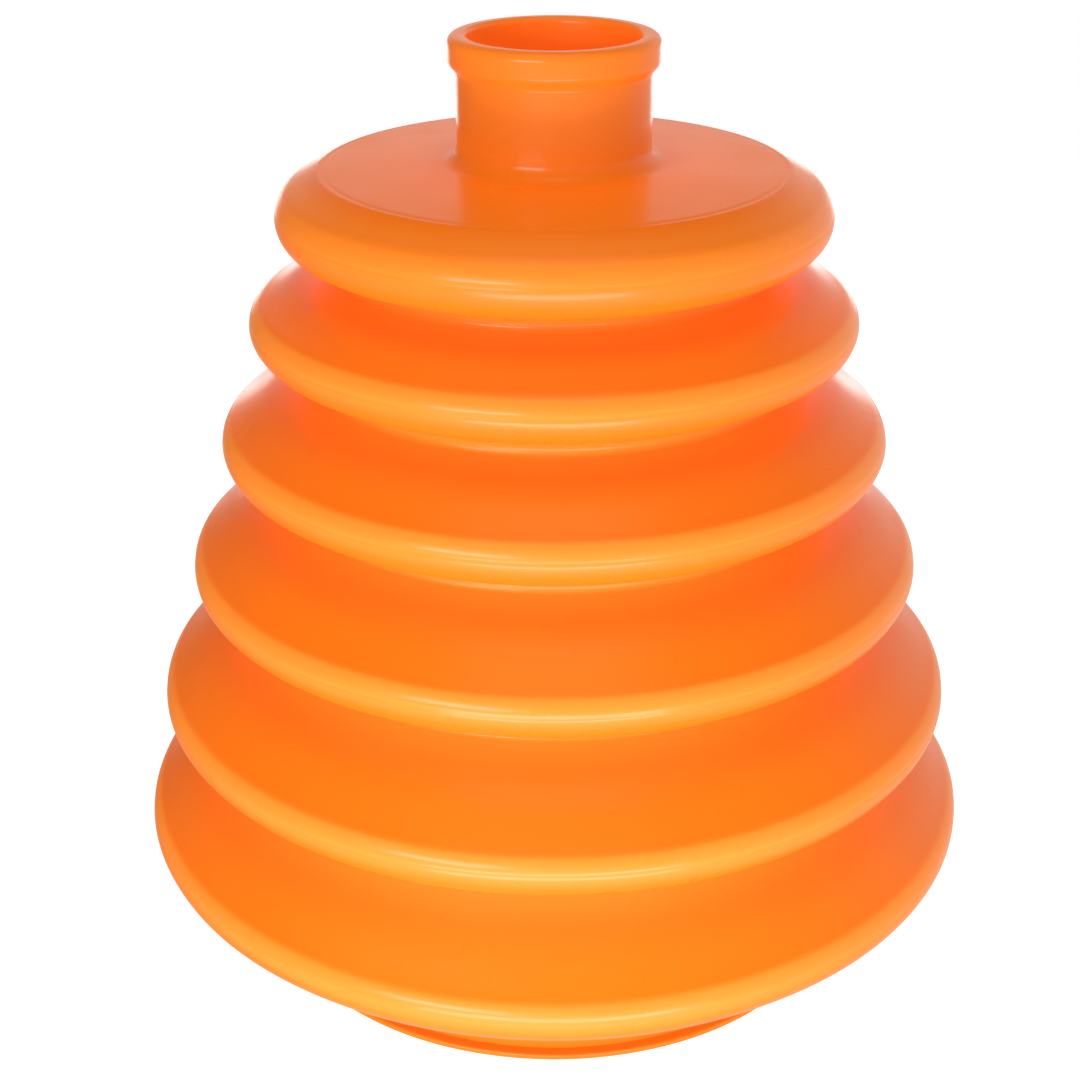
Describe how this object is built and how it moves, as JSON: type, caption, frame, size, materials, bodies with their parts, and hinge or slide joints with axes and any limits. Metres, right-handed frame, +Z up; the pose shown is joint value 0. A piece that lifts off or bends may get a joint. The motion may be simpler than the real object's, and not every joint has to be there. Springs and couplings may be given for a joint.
{
  "type": "dust blower bulb",
  "caption": "Conical bellows bulb of soft orange rubber, with an open lipped neck, a flat shoulder, folds that widen downwards and a small foot; squeezed endwise to blow air.",
  "frame": {"origin": "middle of the underside, on the plane that the foot bead stands on", "axes": "+Z up along the axis of turning, out of the neck; the bulb is the same all round, so X and Y are free"},
  "size_m": [0.08, 0.08, 0.0858],
  "materials": {
    "bulb_rubber": "smooth satin, blow-moulded, glossy at a low angle"
  },
  "bodies": {
    "foot": {"foot_bead": "bulb_rubber", "foot_collar": "bulb_rubber", "base_panel": "bulb_rubber"},
    "fold_1": {"upper_wall_1": "bulb_rubber", "crest_1": "bulb_rubber", "lower_wall_1": "bulb_rubber"},
    "tuck_1": {"waist_1": "bulb_rubber"},
    "fold_2": {"upper_wall_2": "bulb_rubber", "crest_2": "bulb_rubber", "lower_wall_2": "bulb_rubber"},
    "tuck_2": {"waist_2": "bulb_rubber"},
    "fold_3": {"upper_wall_3": "bulb_rubber", "crest_3": "bulb_rubber", "lower_wall_3": "bulb_rubber"},
    "tuck_3": {"waist_3": "bulb_rubber"},
    "fold_4": {"upper_wall_4": "bulb_rubber", "crest_4": "bulb_rubber", "lower_wall_4": "bulb_rubber"},
    "tuck_4": {"waist_4": "bulb_rubber"},
    "fold_5": {"upper_wall_5": "bulb_rubber", "crest_5": "bulb_rubber", "lower_wall_5": "bulb_rubber"},
    "tuck_5": {"waist_5": "bulb_rubber"},
    "fold_6": {"upper_wall_6": "bulb_rubber", "crest_6": "bulb_rubber", "lower_wall_6": "bulb_rubber"},
    "head": {"shoulder": "bulb_rubber", "neck": "bulb_rubber", "mouth_lip": "bulb_rubber"}
  },
  "joints": [
    {"name": "squeeze", "type": "slide", "parent": "foot", "child": "head", "axis": [0, 0, -1], "range_m": [0, 0.032], "stiffness_N_per_m": 600, "springref_m": -0.0005},
    {"name": "fold_1_slide", "type": "slide", "parent": "foot", "child": "fold_1", "axis": [0, 0, -1], "range_m": [0, 0.03065], "deforming": ["upper_wall_1", "lower_wall_1"]},
    {"name": "tuck_1_slide", "type": "slide", "parent": "foot", "child": "tuck_1", "axis": [0, 0, -1], "range_m": [0, 0.02854]},
    {"name": "fold_2_slide", "type": "slide", "parent": "foot", "child": "fold_2", "axis": [0, 0, -1], "range_m": [0, 0.02594], "deforming": ["upper_wall_2", "lower_wall_2"]},
    {"name": "tuck_2_slide", "type": "slide", "parent": "foot", "child": "tuck_2", "axis": [0, 0, -1], "range_m": [0, 0.02383]},
    {"name": "fold_3_slide", "type": "slide", "parent": "foot", "child": "fold_3", "axis": [0, 0, -1], "range_m": [0, 0.02059], "deforming": ["upper_wall_3", "lower_wall_3"]},
    {"name": "tuck_3_slide", "type": "slide", "parent": "foot", "child": "tuck_3", "axis": [0, 0, -1], "range_m": [0, 0.01848]},
    {"name": "fold_4_slide", "type": "slide", "parent": "foot", "child": "fold_4", "axis": [0, 0, -1], "range_m": [0, 0.0147], "deforming": ["upper_wall_4", "lower_wall_4"]},
    {"name": "tuck_4_slide", "type": "slide", "parent": "foot", "child": "tuck_4", "axis": [0, 0, -1], "range_m": [0, 0.01259]},
    {"name": "fold_5_slide", "type": "slide", "parent": "foot", "child": "fold_5", "axis": [0, 0, -1], "range_m": [0, 0.00845], "deforming": ["upper_wall_5", "lower_wall_5"]},
    {"name": "tuck_5_slide", "type": "slide", "parent": "foot", "child": "tuck_5", "axis": [0, 0, -1], "range_m": [0, 0.00634]},
    {"name": "fold_6_slide", "type": "slide", "parent": "foot", "child": "fold_6", "axis": [0, 0, -1], "range_m": [0, 0.00207], "deforming": ["upper_wall_6", "lower_wall_6"]}
  ],
  "couplings": [
    {"joint": "fold_1_slide", "follows": "squeeze", "ratio": 0.9578},
    {"joint": "tuck_1_slide", "follows": "squeeze", "ratio": 0.8918},
    {"joint": "fold_2_slide", "follows": "squeeze", "ratio": 0.8105},
    {"joint": "tuck_2_slide", "follows": "squeeze", "ratio": 0.7446},
    {"joint": "fold_3_slide", "follows": "squeeze", "ratio": 0.6433},
    {"joint": "tuck_3_slide", "follows": "squeeze", "ratio": 0.5774},
    {"joint": "fold_4_slide", "follows": "squeeze", "ratio": 0.4592},
    {"joint": "tuck_4_slide", "follows": "squeeze", "ratio": 0.3933},
    {"joint": "fold_5_slide", "follows": "squeeze", "ratio": 0.2638},
    {"joint": "tuck_5_slide", "follows": "squeeze", "ratio": 0.1979},
    {"joint": "fold_6_slide", "follows": "squeeze", "ratio": 0.0644}
  ]
}
